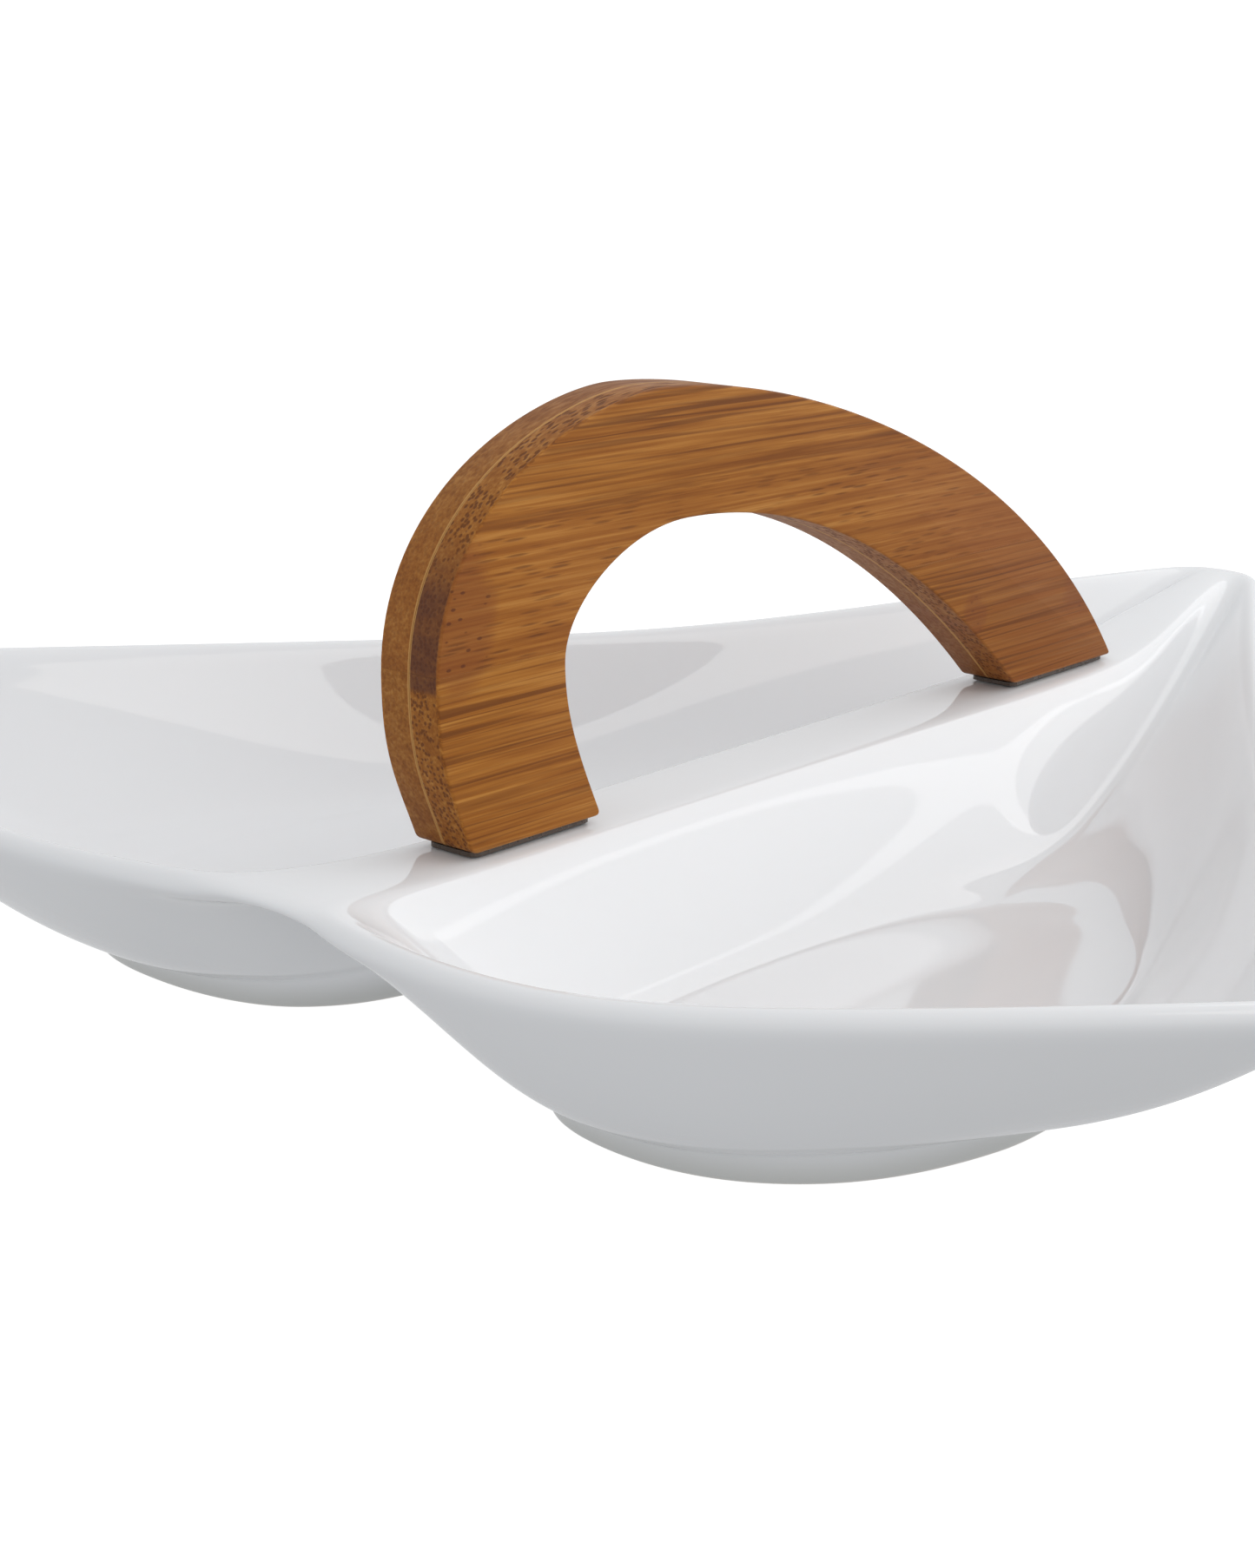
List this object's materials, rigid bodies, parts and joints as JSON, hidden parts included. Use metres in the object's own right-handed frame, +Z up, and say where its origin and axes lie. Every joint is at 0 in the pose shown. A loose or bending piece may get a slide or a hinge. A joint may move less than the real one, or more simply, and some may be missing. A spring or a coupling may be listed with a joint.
{
  "type": "chip and dip server",
  "caption": "Two-well glazed porcelain serving dish with a raised ridge and an arched bamboo carrying handle screwed to the ridge.",
  "frame": {"origin": "middle of the dish's outline at table level", "axes": "+Y along the ridge towards the far corner, +Z up, +X towards the smaller dip well"},
  "size_m": [0.3276, 0.3186, 0.1088],
  "materials": {
    "porcelain_glaze": "high-gloss white glaze, bare on the foot rings",
    "bamboo": "satin caramel carbonised bamboo",
    "bamboo_back": "satin caramel carbonised bamboo, lighter ply",
    "clear_silicone": "milky clear silicone",
    "grey_rubber": "dark grey soft washer",
    "stainless_steel": "plain stainless steel"
  },
  "bodies": {
    "root": {"dish": "porcelain_glaze", "handle_ply_right": "bamboo", "handle_ply_left": "bamboo_back", "near_foot_pad": "clear_silicone", "far_foot_pad": "clear_silicone", "near_soft_washer": "grey_rubber", "far_soft_washer": "grey_rubber", "near_steel_washer": "stainless_steel", "far_steel_washer": "stainless_steel", "near_screw": "stainless_steel", "far_screw": "stainless_steel"}
  },
  "joints": []
}
